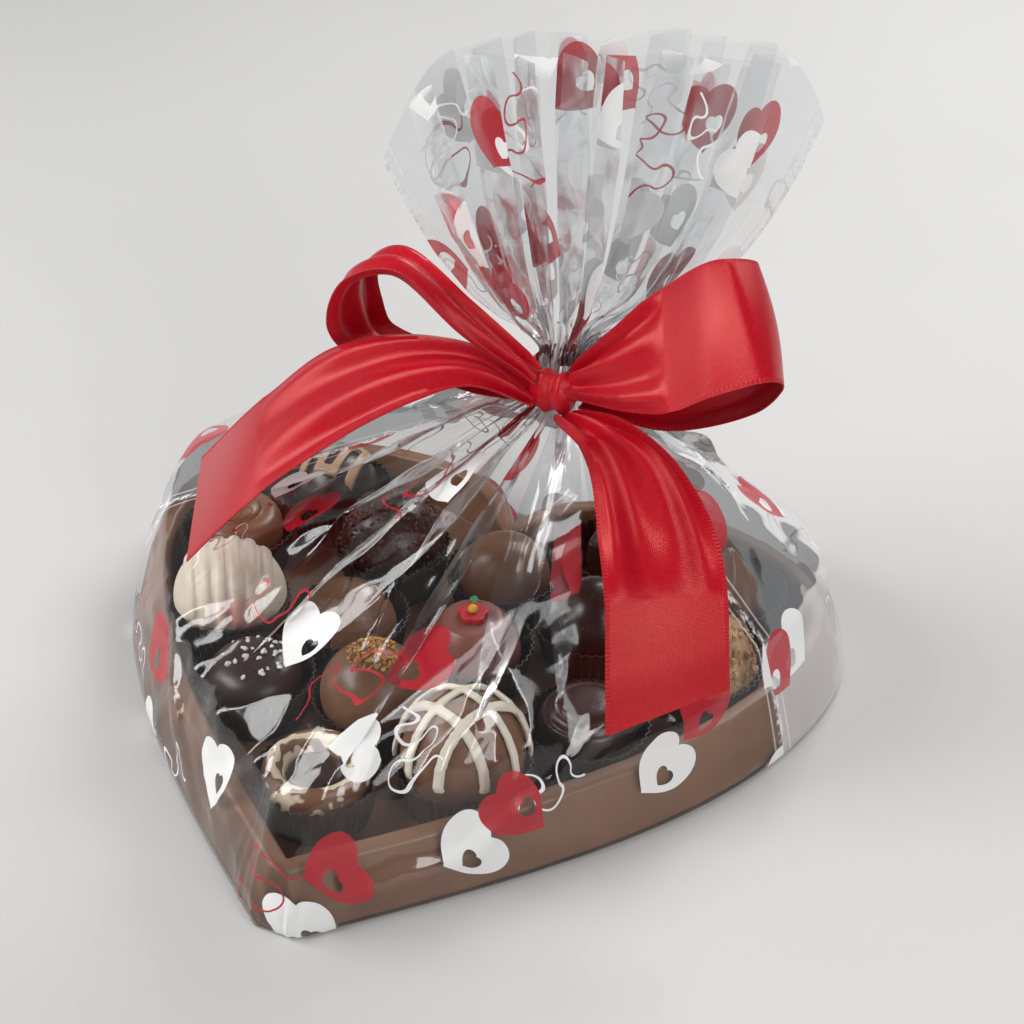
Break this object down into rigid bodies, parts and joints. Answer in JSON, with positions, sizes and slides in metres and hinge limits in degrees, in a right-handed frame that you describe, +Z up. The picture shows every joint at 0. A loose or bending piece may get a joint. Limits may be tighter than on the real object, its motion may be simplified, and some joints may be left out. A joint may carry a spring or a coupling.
{
  "type": "chocolate box",
  "caption": "Heart-shaped moulded chocolate tray of assorted chocolates in fluted paper cups, in a clear film bag gathered on top and tied with a satin ribbon bow.",
  "frame": {"origin": "middle of the heart-shaped tray on the resting plane, under the bag's flat bottom", "axes": "+Z up, the heart's tip points to -Y and its two lobes to +Y, +X to the right when seen from the tip"},
  "size_m": [0.2158, 0.196, 0.198],
  "materials": {
    "milk_chocolate": "satin",
    "dark_chocolate": "satin",
    "white_chocolate": "satin",
    "caramel_nut": "rough",
    "paper_cup": "matte",
    "clear_film": "gloss",
    "satin_ribbon": "satin",
    "red_icing": "satin",
    "green_icing": "satin",
    "yellow_icing": "satin"
  },
  "bodies": {
    "gift": {"heart_tray": "milk_chocolate", "cup_net": "paper_cup", "cup_ring": "paper_cup", "cup_ribbed": "paper_cup", "cup_oval": "paper_cup", "cup_spiral": "paper_cup", "cup_striped": "paper_cup", "cup_crumb": "paper_cup", "cup_salted": "paper_cup", "cup_caramel": "paper_cup", "cup_flower": "paper_cup", "cup_ridged": "paper_cup", "cup_dome": "paper_cup", "cup_nut": "paper_cup", "cup_swirl": "paper_cup", "cup_cordial": "paper_cup", "cup_square": "paper_cup", "film_front": "clear_film", "film_back": "clear_film", "neck_band": "satin_ribbon", "bow_knot": "satin_ribbon", "bow_loop_left": "satin_ribbon", "bow_loop_right": "satin_ribbon", "bow_tail_left": "satin_ribbon", "bow_tail_right": "satin_ribbon"},
    "net": {"choc_net": "milk_chocolate", "net_icing": "white_chocolate"},
    "ring": {"choc_ring": "milk_chocolate", "ring_centre": "dark_chocolate"},
    "ribbed": {"choc_ribbed": "white_chocolate"},
    "striped": {"choc_striped": "dark_chocolate", "striped_icing": "caramel_nut"},
    "oval": {"choc_oval": "milk_chocolate"},
    "spiral": {"choc_spiral": "milk_chocolate"},
    "ridged": {"choc_ridged": "dark_chocolate"},
    "dome": {"choc_dome": "dark_chocolate"},
    "salted": {"choc_salted": "dark_chocolate"},
    "caramel": {"choc_caramel": "milk_chocolate"},
    "cordial": {"choc_cordial": "milk_chocolate"},
    "crumb": {"choc_crumb": "dark_chocolate"},
    "nut": {"choc_nut": "caramel_nut"},
    "swirl": {"choc_swirl": "milk_chocolate"},
    "square": {"choc_square": "dark_chocolate"},
    "flower": {"choc_flower": "milk_chocolate", "flower_petals": "red_icing", "flower_eye": "yellow_icing", "flower_leaf": "green_icing"}
  },
  "joints": [
    {"name": "lift_net", "type": "slide", "parent": "gift", "child": "net", "axis": [0, 0, 1], "range_m": [0, 0.008]},
    {"name": "lift_ring", "type": "slide", "parent": "gift", "child": "ring", "axis": [0, 0, 1], "range_m": [0, 0.013]},
    {"name": "lift_ribbed", "type": "slide", "parent": "gift", "child": "ribbed", "axis": [0, 0, 1], "range_m": [0, 0.002]},
    {"name": "lift_striped", "type": "slide", "parent": "gift", "child": "striped", "axis": [0, 0, 1], "range_m": [0, 0.011]},
    {"name": "lift_oval", "type": "slide", "parent": "gift", "child": "oval", "axis": [0, 0, 1], "range_m": [0, 0.033]},
    {"name": "lift_spiral", "type": "slide", "parent": "gift", "child": "spiral", "axis": [0, 0, 1], "range_m": [0, 0.011]},
    {"name": "lift_ridged", "type": "slide", "parent": "gift", "child": "ridged", "axis": [0, 0, 1], "range_m": [0, 0.021]},
    {"name": "lift_dome", "type": "slide", "parent": "gift", "child": "dome", "axis": [0, 0, 1], "range_m": [0, 0.05]},
    {"name": "lift_salted", "type": "slide", "parent": "gift", "child": "salted", "axis": [0, 0, 1], "range_m": [0, 0.014]},
    {"name": "lift_caramel", "type": "slide", "parent": "gift", "child": "caramel", "axis": [0, 0, 1], "range_m": [0, 0.025]},
    {"name": "lift_cordial", "type": "slide", "parent": "gift", "child": "cordial", "axis": [0, 0, 1], "range_m": [0, 0.042]},
    {"name": "lift_crumb", "type": "slide", "parent": "gift", "child": "crumb", "axis": [0, 0, 1], "range_m": [0, 0.028]},
    {"name": "lift_nut", "type": "slide", "parent": "gift", "child": "nut", "axis": [0, 0, 1], "range_m": [0, 0.015]},
    {"name": "lift_swirl", "type": "slide", "parent": "gift", "child": "swirl", "axis": [0, 0, 1], "range_m": [0, 0.018]},
    {"name": "lift_square", "type": "slide", "parent": "gift", "child": "square", "axis": [0, 0, 1], "range_m": [0, 0.023]},
    {"name": "lift_flower", "type": "slide", "parent": "gift", "child": "flower", "axis": [0, 0, 1], "range_m": [0, 0.05]}
  ]
}
